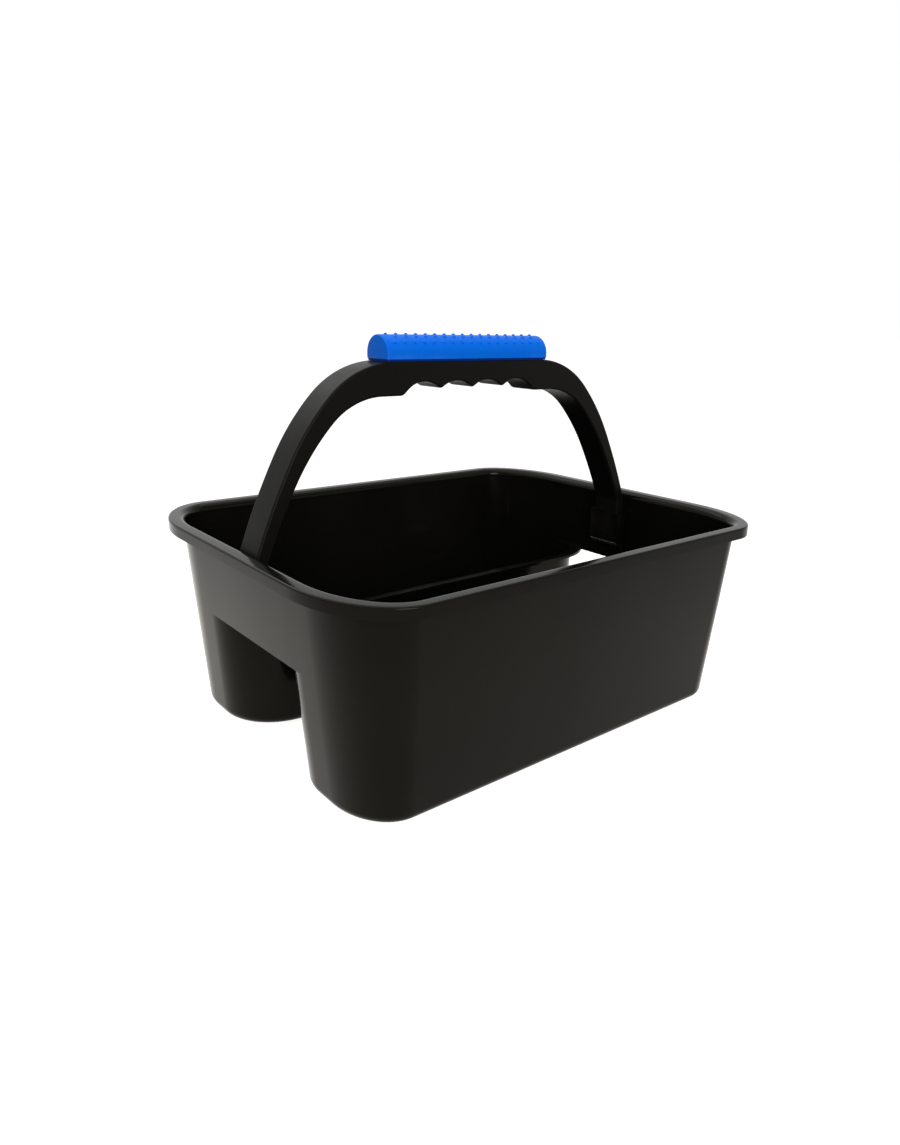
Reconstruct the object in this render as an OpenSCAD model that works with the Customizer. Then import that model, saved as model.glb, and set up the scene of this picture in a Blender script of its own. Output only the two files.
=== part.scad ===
// Cleaning caddy: a two-trough tray with a fixed carrying handle and a grip cover.
// Millimetres, +Z up, origin on the table under the middle of the tray.
// X runs along the length, Y across the two troughs.

/* [Tray] */
// Length over the rim
tray_l = 400; // [330:5:450]
// Width over the rim
tray_w = 336; // [290:2:400]
// Height of the rim above the table
tray_h = 158; // [135:1:190]
// Thickness of the side walls
wall = 2.5; // [2:0.1:3.5]
// Lean of the end walls from rim to base
end_draft = 7.5; // [2:0.5:12]
// Lean of the long walls from rim to base
side_draft = 15; // [5:0.5:20]
// Rim corner, radius measured along the length
rim_corner_l = 50; // [36:1:60]
// Rim corner, radius measured along the width
rim_corner_w = 81; // [50:1:90]

/* [Rim] */
// How far the rim stands out from the wall
rim_out = 11; // [8:0.5:14]
// Height of the turned-down edge of the rim
rim_drop = 8.5; // [6:0.5:12]
// Thickness of the rim
rim_t = 2.5; // [2:0.1:3.5]
// Height of the bevel that leads from the rim into the tray
rim_bevel = 3; // [2:0.5:4]

/* [Troughs] */
// Height of the ledge where the tray divides into two troughs
ledge_z = 93; // [75:1:105]
// Thickness of the ledge
ledge_t = 2.5; // [2:0.1:3.5]
// Clear width of the slot between the two ledges
slot_w = 42; // [32:1:50]
// How far each ledge stands out past its trough wall
lip_w = 5; // [3:0.5:8]
// Length over which the slot widens at each end
flare_l = 39; // [30:1:48]
// Radius of the ledge edge where the slot widens
flare_r = 58; // [52:1:80]
// Lean of the inner trough walls from ledge to base
inner_draft = 4; // [1:0.5:6]
// Trough corner beside the slot, radius
inner_corner = 47; // [30:1:52]
// Trough base corner at the outside, radius along the length
base_corner_l = 35; // [25:1:50]
// Trough base corner at the outside, radius along the width
base_corner_w = 48; // [30:1:55]
// Rounding between the walls and the base
base_round = 8; // [4:0.5:12]
// Thickness of the trough floors
floor_t = 2.5; // [2:0.1:4]
// Depth of the recess under each floor
foot_recess = 0.8; // [0.3:0.1:1.5]
// Width of the flat foot around that recess
foot_ring = 9; // [6:1:16]

/* [Handle] */
// Width of the handle across the tray
handle_w = 28.5; // [22:0.5:36]
// Height of the flat top of the handle above the table
handle_top = 280.5; // [250:0.5:330]
// Depth of the handle at the top
handle_t = 24; // [20:0.5:28]
// Depth of the handle legs at the rim
leg_t = 9.5; // [8:0.5:12]
// Outer radius of the handle shoulders
shoulder_r = 75; // [55:1:85]
// Outer radius between shoulder and leg
haunch_r = 180; // [120:5:220]
// Distance from one finger hollow to the next
finger_pitch = 30; // [24:0.5:32]
// Radius of the finger hollows
finger_r = 22; // [18:0.5:26]
// Depth of the finger hollows
finger_depth = 9.5; // [6:0.5:11]

/* [Sockets] */
// Height of the socket floor that a handle foot stands on
socket_z = 110; // [105:1:118]
// Height of the socket's top edge
socket_top = 139; // [132:1:146]
// Thickness of the socket walls
socket_wall = 2.2; // [1.8:0.1:3]
// Clearance around a handle foot in its socket
socket_fit = 0.3; // [0.2:0.05:0.5]
// Width of the snap window in the socket
snap_w = 12; // [8:1:18]
// Height of the snap window
snap_h = 6; // [5:0.5:9]

/* [Grip] */
// Length of the grip cover
grip_l = 154; // [120:1:160]
// Height of the grip cover without its dots
grip_h = 18.4; // [15:0.1:22]
// Height of the straight lower sides of the grip cover
grip_side = 5; // [3:0.5:8]
// Wall of the grip cover
grip_wall = 2.5; // [2:0.1:3.5]
// Clearance between the grip cover and the bar inside it
grip_fit = 0.3; // [0.2:0.05:0.5]
// Depth of the shadow groove along the grip's lower edge
groove_d = 0.8; // [0.4:0.1:1.2]
// Height of that groove
groove_h = 1.5; // [1:0.1:2]
// Distance from one dot to the next along the grip
dot_pitch = 8.7; // [7:0.1:11]
// Distance from the grip's ends to the first dots
dot_margin = 7; // [5:0.5:12]
// Radius of the dots
dot_r = 1.5; // [1:0.1:2]
// How far the dots stand out
dot_h = 1.1; // [0.6:0.1:1.4]

/* [Hidden] */
steps = 8;          // segments in a quarter of a moulded corner
thin = 0.01;        // thickness of a slice that a skin is drawn through
overlap = 1;        // how far a cutting shape runs past the face it opens

rim_x = tray_l / 2;
rim_y = tray_w / 2;
wall_top = tray_h - rim_drop;
inner_y = slot_w / 2 + lip_w;        // outside of the inner trough wall at the ledge
ledge_under = ledge_z - ledge_t;

// Share of the full draft at height z, 0 at the rim and 1 at the table
function lean(z) = (wall_top - z) / wall_top;
function half_l(z) = rim_x - rim_out - end_draft * lean(z);
function half_w(z) = rim_y - rim_out - side_draft * lean(z);
function corner_l(z) = (rim_corner_l - rim_out) * (1 - lean(z)) + base_corner_l * lean(z);
function corner_w(z) = (rim_corner_w - rim_out) * (1 - lean(z)) + base_corner_w * lean(z);
function slot_y(z) = inner_y + inner_draft * (ledge_z - z) / ledge_z;

// Quarter of an ellipse, starting at angle a0
function quarter(cx, cy, rx, ry, a0) =
    [for (i = [0:steps]) let (a = a0 + 90 * i / steps) [cx + rx * cos(a), cy + ry * sin(a)]];

// Outline with elliptical corners
module outline(hx, hy, rx, ry)
    polygon(concat(quarter(hx - rx, hy - ry, rx, ry, 0), quarter(rx - hx, hy - ry, rx, ry, 90),
                   quarter(rx - hx, ry - hy, rx, ry, 180), quarter(hx - rx, ry - hy, rx, ry, 270)));

// Outline of the tray wall's outside at height z, taken in by inset
module tray_outline(z, inset)
    outline(half_l(z) - inset, half_w(z) - inset, corner_l(z) - inset, corner_w(z) - inset);

// Outline of one trough's outside at height z, taken in by inset, on the +Y side
module trough_outline(z, inset) {
    hx = half_l(z) - inset;
    y_out = half_w(z) - inset;
    y_in = slot_y(z) + inset;
    rx = corner_l(z) - inset;
    ry = corner_w(z) - inset;
    ri = inner_corner - inset;
    polygon(concat(quarter(hx - rx, y_out - ry, rx, ry, 0), quarter(rx - hx, y_out - ry, rx, ry, 90),
                   quarter(ri - hx, y_in + ri, ri, ri, 180), quarter(hx - ri, y_in + ri, ri, ri, 270)));
}

module slice(z) translate([0, 0, z]) linear_extrude(thin) children();

module tray_skin(z0, z1, inset) hull() {
    slice(z0) tray_outline(z0, inset);
    slice(z1 - thin) tray_outline(z1, inset);
}

// One trough from z0 to z1, with its base edge rounded by r
module trough_skin(z0, z1, inset, r) hull() {
    for (a = [0:22.5:90])
        slice(z0 + r * (1 - sin(a))) trough_outline(z0, inset + r * (1 - cos(a)));
    slice(z1 - thin) trough_outline(z1, inset);
}

module both_sides() {
    children();
    mirror([0, 1, 0]) children();
}

module rim() difference() {
    translate([0, 0, wall_top]) linear_extrude(rim_drop) difference() {
        outline(rim_x, rim_y, rim_corner_l, rim_corner_w);
        tray_outline(wall_top, wall / 2);
    }
    translate([0, 0, wall_top - overlap]) linear_extrude(rim_drop - rim_t + overlap) difference() {
        outline(rim_x - rim_t, rim_y - rim_t, rim_corner_l - rim_t, rim_corner_w - rim_t);
        tray_outline(wall_top, 0);
    }
}

// Inside face of the end wall at height z
function inside_x(z) = half_l(z) - wall;
foot_top = wall_top;                       // where a leg comes off the end wall
foot_x = inside_x(foot_top) - socket_fit;
function foot_outer(z) = foot_x - end_draft * (lean(z) - lean(foot_top));
function foot_inner(z) = foot_outer(z) - leg_t;

// Side view of a foot in its socket, grown by g
module foot_side(g) polygon([
    [foot_outer(socket_z) + g, socket_z], [foot_outer(foot_top) + g, foot_top],
    [foot_inner(foot_top) - g, foot_top], [foot_inner(socket_z) - g, socket_z]]);

module across(w) rotate([90, 0, 0]) linear_extrude(w, center = true) children();

snap_z = (socket_z + socket_top) / 2;      // middle of the snap window

module socket() difference() {
    across(handle_w + 2 * socket_fit + 2 * socket_wall) polygon([
        [half_l(socket_z) - wall / 2, socket_z - 3 * socket_wall],
        [half_l(socket_top) - wall / 2, socket_top],
        [foot_inner(socket_top) - socket_fit - socket_wall, socket_top],
        [foot_inner(socket_z) - socket_fit - socket_wall, socket_z],
        [inside_x(socket_z) - socket_wall, socket_z - 3 * socket_wall]]);
    across(handle_w + 2 * socket_fit) foot_side(socket_fit);
    translate([foot_inner(socket_z) - 4 * socket_wall, -snap_w / 2, snap_z - snap_h / 2])
        cube([4 * socket_wall + leg_t / 2, snap_w, snap_h]);
}

module tray() color([0.06, 0.06, 0.065]) {
    difference() {
        union() {
            tray_skin(ledge_under, tray_h, 0);
            both_sides() trough_skin(0, ledge_z, 0, base_round);
            rim();
        }
        tray_skin(ledge_z, tray_h + overlap, wall);
        both_sides() trough_skin(floor_t, ledge_z + overlap, wall, base_round - wall);
        slot_cut();
        rim_bevel_cut();
        both_sides() translate([0, 0, -overlap]) linear_extrude(overlap + foot_recess)
            trough_outline(0, base_round + foot_ring);
    }
    for (side = [0, 1]) mirror([side, 0, 0]) socket();
}

// One quarter of the slot's outline, widening towards the end wall
flare_x = inside_x(ledge_z) - flare_l;
flare_y = slot_w / 2 + flare_r - sqrt(flare_r * flare_r - flare_l * flare_l);
module slot_quarter() {
    translate([-overlap, -overlap]) square([flare_x + overlap, slot_w / 2 + overlap]);
    difference() {
        translate([flare_x - overlap, 0]) square([flare_l + 2 * overlap, flare_y + 2 * overlap]);
        translate([flare_x, slot_w / 2 + flare_r]) circle(flare_r, $fn = 96);
    }
}

// The open slot between the ledges, cut through the tray's bottom
module slot_cut() translate([0, 0, ledge_under - overlap]) linear_extrude(ledge_t + 2 * overlap)
    intersection() {
        tray_outline(ledge_z, wall);
        for (turn = [0, 1]) mirror([turn, 0]) both_sides() slot_quarter();
    }

module rim_bevel_cut() hull() {
    slice(tray_h - rim_bevel) tray_outline(wall_top, wall);
    slice(tray_h + overlap) tray_outline(wall_top, wall - rim_bevel - overlap);
}

// Arc that starts at p heading a0 below level, turns down to a1
function fall(p, r, a0, a1) = [for (i = [0:steps]) let (a = a0 + (a1 - a0) * i / steps)
    [p[0] + r * (sin(a) - sin(a0)), p[1] - r * (cos(a0) - cos(a))]];
function last(list) = list[len(list) - 1];
// Radius that falls by drop while turning from a0 to a1
function fall_r(drop, a0, a1) = drop / (cos(a0) - cos(a1));

// Half of one edge of the arch: level, shoulder, haunch, then leg down to the foot at foot_top
function arch_edge(z, x_foot, r1, a1, r2, a2, a3) =
    let (drop1 = r1 * (1 - cos(a1)), drop2 = r2 * (cos(a1) - cos(a2)),
         r3 = fall_r(z - foot_top - drop1 - drop2, a2, a3),
         x0 = x_foot - r1 * sin(a1) - r2 * (sin(a2) - sin(a1)) - r3 * (sin(a3) - sin(a2)),
         shoulder = fall([x0, z], r1, 0, a1), haunch = fall(last(shoulder), r2, a1, a2))
    concat([[0, z]], shoulder, haunch, fall(last(haunch), r3, a2, a3));

inner_shoulder_r = shoulder_r - 17;        // the inside of the shoulder turns tighter
outer_edge = arch_edge(handle_top, foot_x, shoulder_r, 45, haunch_r, 61, 69.5);
inner_edge = arch_edge(handle_top - handle_t, foot_x - leg_t, inner_shoulder_r, 45, haunch_r, 59.5, 68);

function reversed(list) = [for (i = [len(list) - 1:-1:0]) list[i]];

module half_arch() polygon(concat(outer_edge, [[foot_outer(socket_z), socket_z],
    [foot_inner(socket_z), socket_z]], reversed(inner_edge)));

module snap_barb() across(snap_w - 2 * socket_fit) polygon([
    [foot_inner(snap_z) + 1, snap_z + snap_h / 2 - socket_fit],
    [foot_inner(snap_z) - socket_fit - 1, snap_z + snap_h / 2 - socket_fit],
    [foot_inner(snap_z) + 1, snap_z - snap_h / 2 + socket_fit]]);

// Bell-shaped section of the grip, taken in by inset
module grip_section(inset) polygon(concat(
    [[handle_w / 2 - inset, 0]],
    [for (i = [0:2 * steps]) let (a = 90 * i / steps)
        [(handle_w / 2 - inset) * cos(a), grip_side + (grip_h - grip_side - inset) * sin(a)]],
    [[inset - handle_w / 2, 0]]));

module along(l) rotate([90, 0, 90]) linear_extrude(l, center = true) children();

module handle() color([0.07, 0.07, 0.075]) {
    across(handle_w) difference() {
        union() {
            half_arch();
            mirror([1, 0]) half_arch();
        }
        for (i = [-1.5:1.5]) translate([i * finger_pitch, handle_top - handle_t + finger_depth - finger_r])
            circle(finger_r, $fn = 64);
    }
    translate([0, 0, handle_top]) along(grip_l - 2 * (grip_wall + grip_fit))
        grip_section(grip_wall + grip_fit);
    for (side = [0, 1]) mirror([side, 0, 0]) snap_barb();
}

// Rows of dots: each row's angle round the crown, and 1 where it is moved by half a pitch
dot_rows = [[0, 0], [27, 1], [-27, 1], [52, 0], [-52, 0]];
dots_in_row = floor((grip_l - 2 * dot_margin) / dot_pitch) + 1;
dot_sink = dot_r - dot_h;
module dots() for (row = dot_rows) {
    count = dots_in_row - row[1];
    for (i = [0:count - 1]) translate([(i - (count - 1) / 2) * dot_pitch,
        (handle_w / 2 - dot_sink) * sin(row[0]),
        handle_top + grip_side + (grip_h - grip_side - dot_sink) * cos(row[0])]) sphere(dot_r, $fn = 20);
}

module grip_cover() color([0.08, 0.4, 0.84]) {
    translate([0, 0, handle_top]) difference() {
        along(grip_l) grip_section(0);
        along(grip_l - 2 * grip_wall) grip_section(grip_wall);
        groove();
    }
    dots();
}

// Ring cut along the lower edge of the grip cover
module groove() translate([0, 0, -overlap]) linear_extrude(overlap + groove_h) difference() {
    square([grip_l + overlap, handle_w + overlap], center = true);
    square([grip_l - 2 * groove_d, handle_w - 2 * groove_d], center = true);
}

tray();
handle();
grip_cover();
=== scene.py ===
import math

import bpy
from mathutils import Matrix, Vector


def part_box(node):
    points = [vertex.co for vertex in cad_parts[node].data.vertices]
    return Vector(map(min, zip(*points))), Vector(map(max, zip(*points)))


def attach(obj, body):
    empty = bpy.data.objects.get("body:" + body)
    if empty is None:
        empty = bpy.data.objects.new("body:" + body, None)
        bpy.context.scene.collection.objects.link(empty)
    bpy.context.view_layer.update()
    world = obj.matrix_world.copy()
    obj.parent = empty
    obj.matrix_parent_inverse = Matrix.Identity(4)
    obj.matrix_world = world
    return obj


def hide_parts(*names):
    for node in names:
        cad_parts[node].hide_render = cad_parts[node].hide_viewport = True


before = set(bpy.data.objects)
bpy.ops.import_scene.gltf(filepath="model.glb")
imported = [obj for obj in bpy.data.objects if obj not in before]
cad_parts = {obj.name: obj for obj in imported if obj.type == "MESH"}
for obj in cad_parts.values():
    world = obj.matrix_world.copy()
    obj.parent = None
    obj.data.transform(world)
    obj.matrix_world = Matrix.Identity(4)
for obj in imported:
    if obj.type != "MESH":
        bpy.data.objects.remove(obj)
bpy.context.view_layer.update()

# ---------------------------------------------------------------- sizes, in metres, from the frame
tray_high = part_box("tray")[1]
handle_low, handle_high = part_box("handle")
grip_low, grip_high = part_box("grip_cover")

# Tray
RIM_X, RIM_Y, TRAY_H = tray_high[0], tray_high[1], tray_high[2]
WALL = 0.0025               # thickness of walls, rim, ledge and floor
END_DRAFT = 0.0075          # lean of the end walls from rim to base
SIDE_DRAFT = 0.015          # lean of the long walls
RIM_CORNER = (0.050, 0.081)     # rim corner radii along X and Y
BASE_CORNER = (0.035, 0.048)    # outside corner radii at the base
RIM_OUT = 0.011             # overhang of the rim past the wall
RIM_DROP = 0.0085           # height of the rim's turned-down edge
RIM_EDGE_R = 0.0016         # rounding of the rim's outer edge
RIM_BEND_R = 0.006          # bend from the rim's top into the wall
WALL_TOP = TRAY_H - RIM_DROP
LEDGE_Z = 0.093             # top of the ledge where the troughs part
SLOT_HALF = 0.021           # half the clear width of the slot
LIP = 0.005                 # ledge past the trough wall
FLARE_L = 0.039             # length over which the slot widens
FLARE_R = 0.058             # radius of that widening
INNER_DRAFT = 0.004         # lean of the inner trough walls
INNER_CORNER = 0.047        # trough corners beside the slot
BASE_R = 0.008              # rounding between walls and base
FOOT_RING = 0.009           # flat foot round the recess under each trough
FOOT_RECESS = 0.0008
EDGE_R = 0.0006             # broken edge of the moulding

# Handle
HANDLE_W = handle_high[1] - handle_low[1]
HANDLE_TOP = grip_low[2]    # the flat that the grip cover sits on
HANDLE_T = 0.024            # depth of the bar at the top
LEG_T = 0.0095              # depth of a leg
SHOULDER_R = 0.075          # outer bend beside the flat
SHOULDER_STEP = 0.017       # how much tighter the inner bend is
HAUNCH_R = 0.180            # the slower bend below the shoulder
OUTER_TURNS = (45, 61, 69.5)    # degrees below level at which shoulder, haunch and leg end
INNER_TURNS = (45, 59.5, 68)
FINGER_PITCH = 0.030
FINGER_R = 0.022
FINGER_DEPTH = 0.0095
FINGER_BLEND = 0.0013       # how softly one hollow runs into the next
HANDLE_EDGE_R = 0.0016

# Sockets for the handle's feet
SOCKET_FIT = 0.0003         # clearance round a foot
SOCKET_Z = handle_low[2]    # what a foot stands on
SOCKET_TOP = 0.139
SOCKET_WALL = 0.0022
SOCKET_TOE = 0.004          # how far the sloping bottom stands out from the block's back
SOCKET_SKIN = 0.0001        # how far the pocket's top stays off the end wall
OVERSHOOT = 0.01            # how far a cutter runs past what it cuts

# Grip cover
GRIP_L = grip_high[0] - grip_low[0]
GRIP_H = 0.0184             # height of the crown above the flat
GRIP_SIDE = 0.005           # height of the upright sides below the crown
GRIP_WALL = 0.0025
GRIP_FIT = 0.0003           # clearance round the bar inside
GROOVE_D = 0.0008           # groove along the lower edge
GROOVE_H = 0.0015
GRIP_EDGE_R = 0.0012
DOT_PITCH = 0.0087
DOT_MARGIN = 0.007          # bare length at each end
DOT_R = 0.0015
DOT_H = 0.0011
DOT_ROWS = ((0, 0), (27, 1), (-27, 1), (52, 0), (-52, 0))   # angle round the crown, half-pitch shift

# Steps along the outlines
CORNER_STEPS = 20
LONG_STEPS = 4
BAND_STEPS = 6
END_STEPS = 4
ARC_STEPS = 14
BAR_STEPS = 56

WELD = 2e-5                 # points nearer than this are one
TOUCH = 1e-5                # coordinates nearer than this are level
SMOOTH_ANGLE = math.radians(35)


# ---------------------------------------------------------------- modelling helpers
def deselect_all():
    bpy.ops.object.select_all(action="DESELECT")


def only(obj):
    deselect_all()
    obj.select_set(True)
    bpy.context.view_layer.objects.active = obj


def edit(obj, mode="FACE"):
    only(obj)
    bpy.ops.object.mode_set(mode="EDIT")
    bpy.ops.mesh.select_mode(type=mode)
    bpy.ops.mesh.select_all(action="DESELECT")


def done():
    bpy.ops.object.mode_set(mode="OBJECT")


def pick_faces(obj, test):
    """Selects the faces whose centre and normal pass the test, and stays in edit mode."""
    edit(obj)
    done()
    for face in obj.data.polygons:
        face.select = test(face.center, face.normal)
    bpy.ops.object.mode_set(mode="EDIT")


def pick_edges(obj, test):
    """Selects the edges whose two ends pass the test, and stays in edit mode."""
    edit(obj, "EDGE")
    done()
    verts = obj.data.vertices
    for edge in obj.data.edges:
        edge.select = test(verts[edge.vertices[0]].co, verts[edge.vertices[1]].co)
    bpy.ops.object.mode_set(mode="EDIT")


def lay_sheet(name, rows):
    """A grid primitive laid over a form: one list of points for each row."""
    across, down = len(rows[0]) - 1, len(rows) - 1
    bpy.ops.mesh.primitive_grid_add(x_subdivisions=across, y_subdivisions=down, size=1)
    obj = bpy.context.object
    obj.name = name
    order = sorted(obj.data.vertices, key=lambda v: (round(v.co.y, 5), round(v.co.x, 5)))
    points = [p for row in rows for p in row]
    for vertex, point in zip(order, points):
        vertex.co = point
    return obj


def lay_outline(name, points):
    """A filled circle primitive laid on a closed outline."""
    bpy.ops.mesh.primitive_circle_add(vertices=len(points), fill_type="NGON", radius=1)
    obj = bpy.context.object
    obj.name = name
    for vertex, point in zip(obj.data.vertices, points):
        vertex.co = point
    return obj


def push_out(obj, offset):
    """Extrudes the whole flat shape by the offset into a closed solid."""
    edit(obj)
    bpy.ops.mesh.select_all(action="SELECT")
    bpy.ops.mesh.extrude_region_move(TRANSFORM_OT_translate={"value": offset})
    bpy.ops.mesh.select_all(action="SELECT")
    bpy.ops.mesh.normals_make_consistent(inside=False)
    done()


def join(target, others):
    deselect_all()
    for obj in [target] + others:
        obj.select_set(True)
    bpy.context.view_layer.objects.active = target
    bpy.ops.object.join()


def apply_modifier(obj, kind, **settings):
    only(obj)
    modifier = obj.modifiers.new(kind, kind)
    for key, value in settings.items():
        setattr(modifier, key, value)
    bpy.ops.object.modifier_apply(modifier=modifier.name)


def cut(obj, cutter, operation="DIFFERENCE"):
    apply_modifier(obj, "BOOLEAN", object=cutter, operation=operation, solver="EXACT")
    bpy.data.objects.remove(cutter)


def soften(obj, radius, segments=2, angle=40):
    """Breaks the sharp edges and shades the rest smooth."""
    apply_modifier(obj, "BEVEL", width=radius, segments=segments, limit_method="ANGLE",
                   angle_limit=math.radians(angle), use_clamp_overlap=True)
    only(obj)
    bpy.ops.object.shade_smooth_by_angle(angle=SMOOTH_ANGLE)
    apply_modifier(obj, "WEIGHTED_NORMAL", keep_sharp=True, weight=100)


def finish_piece(obj, material, node):
    obj.data.materials.clear()
    obj.data.materials.append(material)
    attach(obj, "root")
    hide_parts(node)


# ---------------------------------------------------------------- outlines of the tray
def arc(cx, cy, rx, ry, start, end, steps):
    angles = [math.radians(start + (end - start) * i / steps) for i in range(steps + 1)]
    return [(cx + rx * math.cos(a), cy + ry * math.sin(a)) for a in angles]


def spaced(start, end, steps):
    return [start + (end - start) * i / steps for i in range(steps + 1)]


def lean(z):
    return (WALL_TOP - z) / WALL_TOP


def half_l(z):
    return RIM_X - RIM_OUT - END_DRAFT * lean(z)


def half_w(z):
    return RIM_Y - RIM_OUT - SIDE_DRAFT * lean(z)


def corner(z, axis):
    return (RIM_CORNER[axis] - RIM_OUT) * (1 - lean(z)) + BASE_CORNER[axis] * lean(z)


def slot_side(z):
    return SLOT_HALF + LIP + INNER_DRAFT * (LEDGE_Z - z) / LEDGE_Z


INSIDE_X = half_l(LEDGE_Z) - WALL                   # inside of the end wall at the ledge
LEDGE_UNDER = LEDGE_Z - WALL
FLARE_X = INSIDE_X - FLARE_L
FLARE_Y = SLOT_HALF + FLARE_R - math.sqrt(FLARE_R ** 2 - FLARE_L ** 2)


def wall_quarter(hx, hy, rx, ry, z):
    """A quarter of the tray's outline, from the middle of a long side to the middle of an end."""
    join_y = slot_side(min(z, LEDGE_Z)) + INNER_CORNER      # where a trough corner leaves the end wall
    points = [(x, hy) for x in spaced(0, hx - rx, LONG_STEPS)]
    points += arc(hx - rx, hy - ry, rx, ry, 90, 0, CORNER_STEPS)[1:]
    points += [(hx, y) for y in spaced(join_y, FLARE_Y, BAND_STEPS)]
    points += [(hx, y) for y in spaced(FLARE_Y, 0, END_STEPS)[1:]]
    return [(x, y, z) for x, y in points]


def rim_quarter(inset, z):
    return wall_quarter(RIM_X - inset, RIM_Y - inset, RIM_CORNER[0] - inset, RIM_CORNER[1] - inset, z)


def skin_quarter(level, inset, z):
    """Tray wall shaped as at that level, taken in by inset and laid at z."""
    return wall_quarter(half_l(level) - inset, half_w(level) - inset,
                        corner(level, 0) - inset, corner(level, 1) - inset, z)


def trough_half(level, inset, z):
    """The +X half of a trough's outline, shaped as at that level, taken in by inset and laid at z."""
    hx, y_out, y_in = half_l(level) - inset, half_w(level) - inset, slot_side(level) + inset
    rx, ry, ri = corner(level, 0) - inset, corner(level, 1) - inset, INNER_CORNER - inset
    points = [(x, y_out) for x in spaced(0, hx - rx, LONG_STEPS)]
    points += arc(hx - rx, y_out - ry, rx, ry, 90, 0, CORNER_STEPS)[1:]
    points += arc(hx - ri, y_in + ri, ri, ri, 0, -90, CORNER_STEPS)
    points += [(x, y_in) for x in spaced(hx - ri, 0, LONG_STEPS)][1:]
    return [(x, y, z) for x, y in points]


def mouth(level, inset, z):
    """The part of a trough's outline that faces the slot."""
    return trough_half(level, inset, z)[LONG_STEPS + CORNER_STEPS + 1:]


# ---------------------------------------------------------------- tray
def rim_rows():
    """From the foot of the band's outside, up round the rim and down to the ledge."""
    under = TRAY_H - WALL
    rows = [skin_quarter(LEDGE_UNDER, 0, LEDGE_UNDER), skin_quarter(WALL_TOP, 0, WALL_TOP),
            skin_quarter(WALL_TOP, 0, under), rim_quarter(WALL, under), rim_quarter(WALL, WALL_TOP)]
    rows.append(rim_quarter(0, WALL_TOP))
    for a in spaced(0, 90, 4):
        turn = math.radians(a)
        rows.append(rim_quarter(RIM_EDGE_R * (1 - math.cos(turn)),
                                TRAY_H - RIM_EDGE_R * (1 - math.sin(turn))))
    bend_in = RIM_OUT + WALL - RIM_BEND_R
    for a in spaced(0, 90, 8):
        turn = math.radians(a)
        rows.append(rim_quarter(bend_in + RIM_BEND_R * math.sin(turn),
                                TRAY_H - RIM_BEND_R * (1 - math.cos(turn))))
    return rows + [skin_quarter(WALL_TOP, WALL, WALL_TOP), skin_quarter(LEDGE_Z, WALL, LEDGE_Z)]


def trough_rows(top, inset, floor):
    """One skin of a trough, from its top down the wall and round into its floor."""
    round_r = BASE_R - inset
    rows = [trough_half(top, inset, top)]
    for a in spaced(0, 90, 6):
        turn = math.radians(a)
        rows.append(trough_half(floor, inset + round_r * (1 - math.cos(turn)),
                                floor + round_r * (1 - math.sin(turn))))
    return rows


def foot_rows():
    """The flat foot under a trough and the step up into its recess."""
    inner = BASE_R + FOOT_RING
    return [trough_half(0, BASE_R, 0), trough_half(0, inner, 0), trough_half(0, inner, FOOT_RECESS)]


def flare(z):
    """Edge of the slot from the end wall to the middle of the tray."""
    turn = math.degrees(math.asin(FLARE_L / FLARE_R))
    points = arc(FLARE_X, SLOT_HALF + FLARE_R, FLARE_R, FLARE_R, turn - 90, -90, ARC_STEPS)
    points += [(x, SLOT_HALF) for x in spaced(FLARE_X, 0, LONG_STEPS)][1:]
    return [(x, y, z) for x, y in points]


def end_line(x, start, end, steps, z):
    return [(x, y, z) for y in spaced(start, end, steps)]


def ledge_top_rows():
    join_y = slot_side(LEDGE_Z) + INNER_CORNER
    return [mouth(LEDGE_Z, WALL, LEDGE_Z),
            end_line(INSIDE_X, join_y, FLARE_Y, BAND_STEPS, LEDGE_Z) + flare(LEDGE_Z)[1:]]


def ledge_under_rows():
    z = LEDGE_UNDER
    skin = mouth(z, 0, z)
    skin.insert(BAND_STEPS, skin[BAND_STEPS])       # a doubled point closes the corner with a triangle
    return [skin, end_line(half_l(z), slot_side(z) + INNER_CORNER, FLARE_Y, BAND_STEPS, z) + flare(z)]


def band_foot_rows():
    """Underside of the band where the slot runs up to the end wall."""
    return [end_line(x, FLARE_Y, 0, END_STEPS, LEDGE_UNDER) for x in (half_l(LEDGE_UNDER), INSIDE_X)]


def slot_edge_rows():
    return [end_line(INSIDE_X, 0, FLARE_Y, END_STEPS, z)[:-1] + flare(z) for z in (LEDGE_Z, LEDGE_UNDER)]


def make_tray():
    sheets = [lay_sheet("rim_sheet", rim_rows()),
              lay_sheet("trough_outside", trough_rows(LEDGE_UNDER, 0, 0)),
              lay_sheet("trough_inside", trough_rows(LEDGE_Z, WALL, WALL)),
              lay_sheet("foot_sheet", foot_rows()),
              lay_sheet("ledge_top", ledge_top_rows()),
              lay_sheet("ledge_under", ledge_under_rows()),
              lay_sheet("band_foot", band_foot_rows()),
              lay_sheet("slot_edge", slot_edge_rows()),
              lay_outline("trough_floor", trough_rows(LEDGE_Z, WALL, WALL)[-1]),
              lay_outline("foot_recess", foot_rows()[-1])]
    tray = sheets[0]
    join(tray, sheets[1:])
    tray.name = "tray_moulding"
    weld(tray)
    apply_modifier(tray, "MIRROR", use_axis=(True, True, False), merge_threshold=WELD)
    weld(tray)
    soften(tray, EDGE_R)
    for side in (1, -1):
        cut(tray, socket_block(side), "UNION")
    return tray


def weld(obj):
    """Merges the seams and turns every face outwards."""
    edit(obj, "VERT")
    bpy.ops.mesh.select_all(action="SELECT")
    bpy.ops.mesh.remove_doubles(threshold=WELD)
    bpy.ops.mesh.select_all(action="SELECT")
    bpy.ops.mesh.normals_make_consistent(inside=False)
    done()


def foot_outer(z):
    return half_l(z) - WALL - SOCKET_FIT


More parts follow.
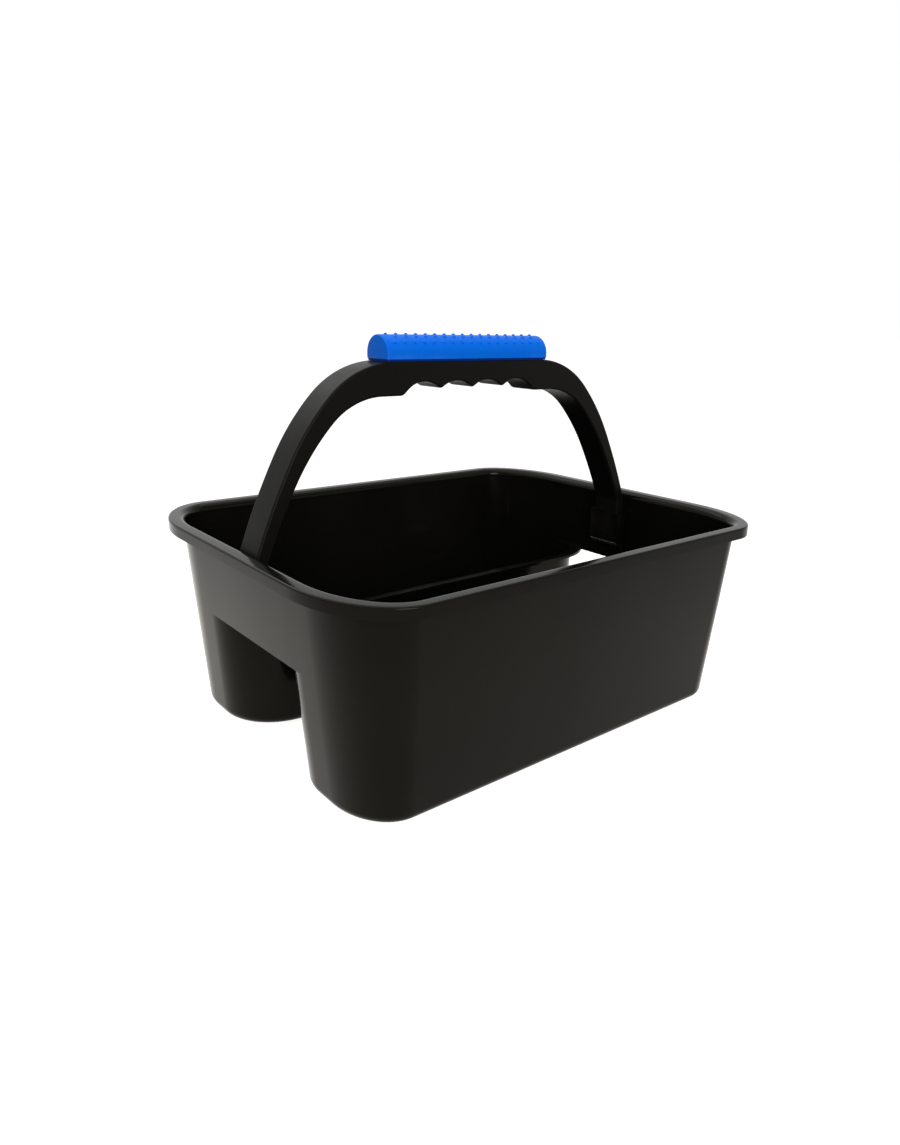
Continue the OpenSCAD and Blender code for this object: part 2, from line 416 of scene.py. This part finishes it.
def socket_block(side):
    """The pocket on the inside of an end wall that a handle foot stands in."""
    width = HANDLE_W + 2 * (SOCKET_FIT + SOCKET_WALL)
    front = foot_outer(WALL_TOP) - LEG_T - SOCKET_FIT - SOCKET_WALL
    back = half_l(SOCKET_Z) - WALL / 2
    low = SOCKET_Z - 3 * SOCKET_WALL
    profile = [(back, low), (back, SOCKET_TOP), (front, SOCKET_TOP), (front, SOCKET_Z),
               (back - SOCKET_TOE, low)]
    block = lay_outline("socket_block", [(side * x, -width / 2, z) for x, z in profile])
    push_out(block, (0, width, 0))
    inner_w = HANDLE_W + 2 * SOCKET_FIT
    pocket_back = half_l(SOCKET_TOP) - WALL - SOCKET_SKIN
    pocket = [(pocket_back, SOCKET_Z), (pocket_back, SOCKET_TOP + OVERSHOOT),
              (front + SOCKET_WALL, SOCKET_TOP + OVERSHOOT), (front + SOCKET_WALL, SOCKET_Z)]
    hollow = lay_outline("socket_hollow", [(side * x, -inner_w / 2, z) for x, z in pocket])
    push_out(hollow, (0, inner_w, 0))
    cut(block, hollow)
    return block


# ---------------------------------------------------------------- handle
def fall(start, radius, a0, a1, steps):
    """An arc that leaves start heading a0 degrees below level and turns down to a1."""
    low = math.radians(a0)
    turns = [math.radians(a) for a in spaced(a0, a1, steps)]
    return [(start[0] + radius * (math.sin(a) - math.sin(low)),
             start[1] - radius * (math.cos(low) - math.cos(a))) for a in turns]


def arch_edge(z, foot_x, r1, r2, turns):
    """Shoulder, haunch and leg of one edge of the arch, from the flat top down to the wall's top."""
    a1, a2, a3 = turns
    sin = {a: math.sin(math.radians(a)) for a in (a1, a2, a3)}
    cos = {a: math.cos(math.radians(a)) for a in (a1, a2, a3)}
    r3 = (z - WALL_TOP - r1 * (1 - cos[a1]) - r2 * (cos[a1] - cos[a2])) / (cos[a2] - cos[a3])
    x0 = foot_x - r1 * sin[a1] - r2 * (sin[a2] - sin[a1]) - r3 * (sin[a3] - sin[a2])
    shoulder = fall((x0, z), r1, 0, a1, CORNER_STEPS)
    haunch = fall(shoulder[-1], r2, a1, a2, ARC_STEPS)
    return shoulder + haunch[1:] + fall(haunch[-1], r3, a2, a3, ARC_STEPS)[1:]


def finger_side(x):
    """Height of the bar's underside, with the four hollows run softly into each other."""
    flat = HANDLE_TOP - HANDLE_T
    centre_z = flat + FINGER_DEPTH - FINGER_R
    heights = [flat]
    for i in (-1.5, -0.5, 0.5, 1.5):
        reach = FINGER_R ** 2 - (x - i * FINGER_PITCH) ** 2
        if reach > 0:
            heights.append(centre_z + math.sqrt(reach))
    top = max(heights)
    return top + FINGER_BLEND * math.log(sum(math.exp((h - top) / FINGER_BLEND) for h in heights))


def arch_edges():
    foot_x = foot_outer(WALL_TOP)
    outer = arch_edge(HANDLE_TOP, foot_x, SHOULDER_R, HAUNCH_R, OUTER_TURNS)
    inner = arch_edge(HANDLE_TOP - HANDLE_T, foot_x - LEG_T, SHOULDER_R - SHOULDER_STEP, HAUNCH_R,
                      INNER_TURNS)
    bar_x = spaced(0, inner[0][0], BAR_STEPS)[:-1]
    outer_bar = [(x * outer[0][0] / inner[0][0], HANDLE_TOP) for x in bar_x]
    inner_bar = [(x, finger_side(x)) for x in bar_x]
    heel_x = foot_outer(SOCKET_Z)
    outer = outer_bar + outer + [(heel_x, SOCKET_Z)]
    inner = inner_bar + inner + [(heel_x - LEG_T, SOCKET_Z)]
    return outer, inner


def both_halves(edge):
    return [(-x, z) for x, z in reversed(edge[1:])] + edge


def bell(inset, base=0):
    """Section of the grip, flat below and round on top, as points across Y and up from the bar."""
    half = HANDLE_W / 2 - inset
    crown = arc(0, GRIP_SIDE, half, GRIP_H - GRIP_SIDE - inset, 0, 180, 2 * CORNER_STEPS)
    return [(half, base)] + crown + [(-half, base)]


def bell_bar(name, length, inset, base):
    points = [(-length / 2, y, HANDLE_TOP + z) for y, z in bell(inset, base)]
    bar = lay_outline(name, points)
    push_out(bar, (length, 0, 0))
    return bar


def make_handle():
    outer, inner = [both_halves(edge) for edge in arch_edges()]
    side = -HANDLE_W / 2
    handle = lay_sheet("handle_arch", [[(x, side, z) for x, z in inner], [(x, side, z) for x, z in outer]])
    push_out(handle, (0, HANDLE_W, 0))
    soften(handle, HANDLE_EDGE_R, 4, 60)
    bar = bell_bar("handle_bar", GRIP_L - 2 * (GRIP_WALL + GRIP_FIT), GRIP_WALL + GRIP_FIT, 0)
    join(handle, [bar])
    return handle


# ---------------------------------------------------------------- grip cover
def dot():
    """One dome, its base in the plane z = 0."""
    bpy.ops.mesh.primitive_uv_sphere_add(segments=12, ring_count=8, radius=DOT_R,
                                         location=(0, 0, DOT_H - DOT_R))
    bpy.ops.object.transform_apply()
    return bpy.context.object


def place_dots():
    pattern = dot()
    dots = []
    in_row = int((GRIP_L - 2 * DOT_MARGIN) / DOT_PITCH + 1e-6) + 1
    for angle, shift in DOT_ROWS:
        turn = math.radians(angle)
        half, rise = HANDLE_W / 2, GRIP_H - GRIP_SIDE
        place = Vector((0, half * math.sin(turn), HANDLE_TOP + GRIP_SIDE + rise * math.cos(turn)))
        tilt = math.atan2(math.sin(turn) / half, math.cos(turn) / rise)
        for i in range(in_row - shift):
            place.x = (i - (in_row - shift - 1) / 2) * DOT_PITCH
            copy = pattern.copy()
            copy.data = pattern.data.copy()
            bpy.context.collection.objects.link(copy)
            copy.data.transform(Matrix.Translation(place) @ Matrix.Rotation(-tilt, 4, "X"))
            dots.append(copy)
    bpy.data.objects.remove(pattern)
    return dots


def make_grip():
    grip = bell_bar("grip_moulding", GRIP_L, 0, GROOVE_H)
    bottom = HANDLE_TOP + GROOVE_H
    pick_faces(grip, lambda centre, normal: normal.z < -0.9)
    bpy.ops.mesh.inset(thickness=GROOVE_D)
    bpy.ops.mesh.extrude_region_move(TRANSFORM_OT_translate={"value": (0, 0, -GROOVE_H)})
    done()
    pick_edges(grip, lambda a, b: abs(abs(a.x) - GRIP_L / 2) < TOUCH and abs(a.x - b.x) < TOUCH
               and (a.z > bottom + TOUCH or b.z > bottom + TOUCH))
    bpy.ops.mesh.bevel(offset=GRIP_EDGE_R, segments=4)
    done()
    cut(grip, bell_bar("grip_hollow", GRIP_L - 2 * GRIP_WALL, GRIP_WALL, -GROOVE_H))
    only(grip)
    bpy.ops.object.shade_smooth_by_angle(angle=SMOOTH_ANGLE)
    dots = place_dots()
    for piece in dots:
        only(piece)
        bpy.ops.object.shade_smooth()
    join(grip, dots)
    return grip


# ---------------------------------------------------------------- finishes
def new_material(name):
    material = bpy.data.materials.new(name)
    material.use_nodes = True
    shader = material.node_tree.nodes["Principled BSDF"]
    return material, material.node_tree.nodes, material.node_tree.links, shader


def noise(nodes, links, coordinates, scale, detail=3, stretch=(1, 1, 1)):
    """A noise pattern on the piece's own coordinates, its scale counted per metre."""
    mapping = nodes.new("ShaderNodeMapping")
    mapping.inputs["Scale"].default_value = stretch
    texture = nodes.new("ShaderNodeTexNoise")
    texture.inputs["Scale"].default_value = scale
    texture.inputs["Detail"].default_value = detail
    links.new(coordinates, mapping.inputs["Vector"])
    links.new(mapping.outputs["Vector"], texture.inputs["Vector"])
    return texture.outputs["Fac"]


def remap(nodes, links, value, low, high, to_low, to_high, curve="LINEAR"):
    node = nodes.new("ShaderNodeMapRange")
    node.interpolation_type = curve
    for name, number in (("From Min", low), ("From Max", high), ("To Min", to_low), ("To Max", to_high)):
        node.inputs[name].default_value = number
    links.new(value, node.inputs["Value"])
    return node.outputs["Result"]


def combine(nodes, links, operation, first, second):
    node = nodes.new("ShaderNodeMath")
    node.operation = operation
    for socket, value in zip(node.inputs, (first, second)):
        if isinstance(value, (int, float)):
            socket.default_value = value
        else:
            links.new(value, socket)
    return node.outputs["Value"]


def blend_colour(nodes, links, factor, first, second):
    """Runs from the first colour at factor 0 to the second at 1; each is a colour or a socket."""
    node = nodes.new("ShaderNodeMix")
    node.data_type = "RGBA"
    links.new(factor, node.inputs["Factor"])
    for name, colour in (("A", first), ("B", second)):
        socket = [i for i in node.inputs if i.name == name and i.type == "RGBA"][0]
        if isinstance(colour, tuple):
            socket.default_value = colour + (1,)
        else:
            links.new(colour, socket)
    return [o for o in node.outputs if o.type == "RGBA"][0]


PLASTIC_IOR = 1.49
WARM_SHEEN = (1, 0.94, 0.76)        # black plastic mirrors slightly warm
NEUTRAL_SHEEN = (1, 1, 1)
SCUFF_SHOWS, EDGE_SHOWS = 0.12, 0.4     # how far scuffs and rubbed edges pull the colour over
WEAR_ROUGHNESS = 0.18
STREAK_ROUGHNESS = 0.02
GRAIN_HEIGHT, WAVE_HEIGHT = 0.0004, 0.0012


def moulded_plastic(name, colour, shade, scuffed, rough, grain, mirror, sheen=WARM_SHEEN):
    """Moulded plastic with soft patches, fine grain, rubbed edges and light scuffs.

    rough is the lowest and highest roughness, grain its scale per metre and strength, and mirror
    the strength of its reflections, where 0.5 is plain plastic.
    """
    material, nodes, links, shader = new_material(name)
    where = nodes.new("ShaderNodeTexCoord").outputs["Object"]
    patches = noise(nodes, links, where, 9, 4)
    streaks = noise(nodes, links, where, 70, 2, (1, 1, 0.05))       # drawn out along Z
    scuffs = noise(nodes, links, where, 240, 6, (0.12, 0.12, 1))    # drawn out along X and Y
    scuffs = remap(nodes, links, scuffs, 0.62, 0.74, 0, 1)
    worn_where = remap(nodes, links, noise(nodes, links, where, 22, 3), 0.5, 0.7, 0, 1)
    scuffs = combine(nodes, links, "MULTIPLY", scuffs, worn_where)
    edges = nodes.new("ShaderNodeNewGeometry").outputs["Pointiness"]
    edges = remap(nodes, links, edges, 0.52, 0.60, 0, 1)
    edges = combine(nodes, links, "MULTIPLY", edges, worn_where)
    worn = combine(nodes, links, "MAXIMUM", combine(nodes, links, "MULTIPLY", scuffs, SCUFF_SHOWS),
                   combine(nodes, links, "MULTIPLY", edges, EDGE_SHOWS))
    base = blend_colour(nodes, links, remap(nodes, links, patches, 0.35, 0.65, 0, 1), colour, shade)
    base = blend_colour(nodes, links, worn, base, scuffed)
    links.new(base, shader.inputs["Base Color"])
    roughness = remap(nodes, links, patches, 0.3, 0.7, rough[0], rough[1])
    streaks = remap(nodes, links, streaks, 0.3, 0.7, -STREAK_ROUGHNESS, STREAK_ROUGHNESS)
    roughness = combine(nodes, links, "ADD", roughness, streaks)
    worn = combine(nodes, links, "MULTIPLY", worn, WEAR_ROUGHNESS)
    roughness = combine(nodes, links, "ADD", roughness, worn)
    links.new(roughness, shader.inputs["Roughness"])
    shader.inputs["IOR"].default_value = PLASTIC_IOR
    shader.inputs["Specular IOR Level"].default_value = mirror
    shader.inputs["Specular Tint"].default_value = sheen + (1,)
    peel = nodes.new("ShaderNodeBump")
    peel.inputs["Strength"].default_value = grain[1]
    peel.inputs["Distance"].default_value = GRAIN_HEIGHT
    links.new(noise(nodes, links, where, grain[0], 2), peel.inputs["Height"])
    waves = nodes.new("ShaderNodeBump")
    waves.inputs["Strength"].default_value = 0.25
    waves.inputs["Distance"].default_value = WAVE_HEIGHT
    links.new(noise(nodes, links, where, 16, 1, (1, 1, 0.35)), waves.inputs["Height"])
    links.new(waves.outputs["Normal"], peel.inputs["Normal"])
    links.new(peel.outputs["Normal"], shader.inputs["Normal"])
    return material


def tray_finish():
    return moulded_plastic("glossy_black_polypropylene", colour=(0.0026, 0.0024, 0.0021),
                           shade=(0.0042, 0.0040, 0.0035), scuffed=(0.020, 0.019, 0.017),
                           rough=(0.10, 0.16), grain=(900, 0.04), mirror=0.080)


def handle_finish():
    return moulded_plastic("satin_black_polypropylene", colour=(0.0030, 0.0029, 0.0027),
                           shade=(0.0044, 0.0043, 0.0040), scuffed=(0.022, 0.021, 0.020),
                           rough=(0.34, 0.42), grain=(2200, 0.12), mirror=0.055)


# painted shade for the groove along the grip's lower edge
GROOVE_PAINTED_SHADE = (0.0008, 0.022, 0.17)


def grip_finish():
    """Blue plastic, with painted shade, a darker line, in the groove along its lower edge."""
    material = moulded_plastic("blue_grip_plastic", colour=(0.0012, 0.124, 0.66),
                               shade=(0.0016, 0.136, 0.71), scuffed=(0.03, 0.20, 0.78),
                               rough=(0.34, 0.42), grain=(2600, 0.08), mirror=0.050,
                               sheen=NEUTRAL_SHEEN)
    nodes, links = material.node_tree.nodes, material.node_tree.links
    base = nodes["Principled BSDF"].inputs["Base Color"]
    height = nodes.new("ShaderNodeSeparateXYZ")
    links.new(nodes.new("ShaderNodeTexCoord").outputs["Object"], height.inputs[0])
    low = HANDLE_TOP + GROOVE_H
    # painted shade: the colour darkens in the groove below this height
    above_groove_shade = remap(nodes, links, height.outputs["Z"], low - 0.0001, low + 0.0003, 0, 1)
    links.new(blend_colour(nodes, links, above_groove_shade, GROOVE_PAINTED_SHADE, base.links[0].from_socket), base)
    return material


# ---------------------------------------------------------------- camera, light and floor
CAMERA_AT = (-0.404, -0.5197, 0.3087)
CAMERA_YAW, CAMERA_PITCH, CAMERA_ROLL = 41.09, 18.48, 1.34      # degrees
CAMERA_LENS, CAMERA_SENSOR = 25.60, 36.0
CAMERA_SHIFT = (-0.0475, 0.0193)

FLOOR_SIZE = 60
PAINTED_POOL_CENTRE = (0.08, 0.13, 0)          # middle of the pool of painted light on the floor under the tray
PAINTED_POOL_FADE = (0.25, 0.70)               # distances from there over which the painted light fades into painted shade
# floor colours of the painted pool of light and of the painted shade round it
FLOOR_PAINTED_LIGHT, FLOOR_PAINTED_SHADE = (0.62, 0.59, 0.51), (0.12, 0.115, 0.10)
GLOW_NEAR, GLOW_FAR = 0.88, 1.0         # how white the floor is seen under the tray and beyond
ROOM_FADE = (0.12, 0.42)                # slopes, 0 level and 1 upright, from the room's low light to its high
ROOM_LOW, ROOM_HIGH = (0.07, 0.067, 0.06), (0.23, 0.22, 0.195)


def make_camera():
    data = bpy.data.cameras.new("camera")
    data.lens = CAMERA_LENS
    data.sensor_width = CAMERA_SENSOR
    data.shift_x, data.shift_y = CAMERA_SHIFT
    data.clip_start = 0.01
    camera = bpy.data.objects.new("camera", data)
    bpy.context.collection.objects.link(camera)
    camera.matrix_world = (Matrix.Translation(CAMERA_AT)
                           @ Matrix.Rotation(math.radians(-CAMERA_YAW), 4, "Z")
                           @ Matrix.Rotation(math.radians(90 - CAMERA_PITCH), 4, "X")
                           @ Matrix.Rotation(math.radians(CAMERA_ROLL), 4, "Z"))
    bpy.context.scene.camera = camera


def lamp(name, at, towards, size, power, spread=180):
    data = bpy.data.lights.new(name, "AREA")
    data.shape = "RECTANGLE"
    data.size, data.size_y = size
    data.energy = power
    data.spread = math.radians(spread)
    obj = bpy.data.objects.new(name, data)
    bpy.context.collection.objects.link(obj)
    obj.location = at
    obj.rotation_euler = (Vector(towards) - Vector(at)).to_track_quat("-Z", "Y").to_euler()


def make_lights():
    lamp("overhead_softbox", (-0.30, 0.45, 1.55), (0, 0, 0.1), (2.4, 2.4), 29)
    lamp("front_softbox", (-0.65, -1.75, 0.75), (0, 0, 0.25), (1.2, 0.9), 5.6, spread=70)


def seen_white(nodes, links):
    """1 where the background is seen, straight, mirrored or through glass; 0 for the light it sheds."""
    path = nodes.new("ShaderNodeLightPath")
    mirrored = combine(nodes, links, "MAXIMUM", path.outputs["Is Camera Ray"], path.outputs["Is Glossy Ray"])
    return combine(nodes, links, "MAXIMUM", mirrored, path.outputs["Is Transmission Ray"])


def make_floor():
    bpy.ops.mesh.primitive_plane_add(size=FLOOR_SIZE, location=(0, 0, 0))
    floor = bpy.context.object
    floor.name = "studio_floor"
    material, nodes, links, shader = new_material("studio_floor_painted_pool")
    away = nodes.new("ShaderNodeVectorMath")
    away.operation = "DISTANCE"
    away.inputs[1].default_value = PAINTED_POOL_CENTRE
    links.new(nodes.new("ShaderNodeTexCoord").outputs["Object"], away.inputs[0])
    # painted light and shade: the floor's colour is pale under the tray and darkens further off, standing in
    # for light falling off
    painted_falloff = remap(nodes, links, away.outputs["Value"], *PAINTED_POOL_FADE, 0, 1, "SMOOTHSTEP")
    tone = blend_colour(nodes, links, painted_falloff, FLOOR_PAINTED_LIGHT, FLOOR_PAINTED_SHADE)
    links.new(tone, shader.inputs["Base Color"])
    shader.inputs["Roughness"].default_value = 0.9
    shader.inputs["Emission Color"].default_value = (1, 1, 1, 1)
    glow = remap(nodes, links, painted_falloff, 0, 1, GLOW_NEAR, GLOW_FAR)
    glow = combine(nodes, links, "MULTIPLY", seen_white(nodes, links), glow)
    links.new(glow, shader.inputs["Emission Strength"])
    floor.data.materials.append(material)


def make_world():
    world = bpy.data.worlds.new("studio")
    bpy.context.scene.world = world
    world.use_nodes = True
    nodes, links = world.node_tree.nodes, world.node_tree.links
    room = nodes["Background"]
    height = nodes.new("ShaderNodeSeparateXYZ")
    links.new(nodes.new("ShaderNodeTexCoord").outputs["Generated"], height.inputs[0])
    up = remap(nodes, links, height.outputs["Z"], *ROOM_FADE, 0, 1, "SMOOTHSTEP")
    tone = blend_colour(nodes, links, up, ROOM_LOW, ROOM_HIGH)
    tone = blend_colour(nodes, links, seen_white(nodes, links), tone, (1, 1, 1))
    links.new(tone, room.inputs["Color"])


# ---------------------------------------------------------------- the scene
deselect_all()
make_camera()
make_lights()
make_world()
make_floor()

tray = make_tray()
finish_piece(tray, tray_finish(), "tray")
handle = make_handle()
finish_piece(handle, handle_finish(), "handle")
grip = make_grip()
finish_piece(grip, grip_finish(), "grip_cover")

bpy.context.scene.view_settings.view_transform = "Standard"
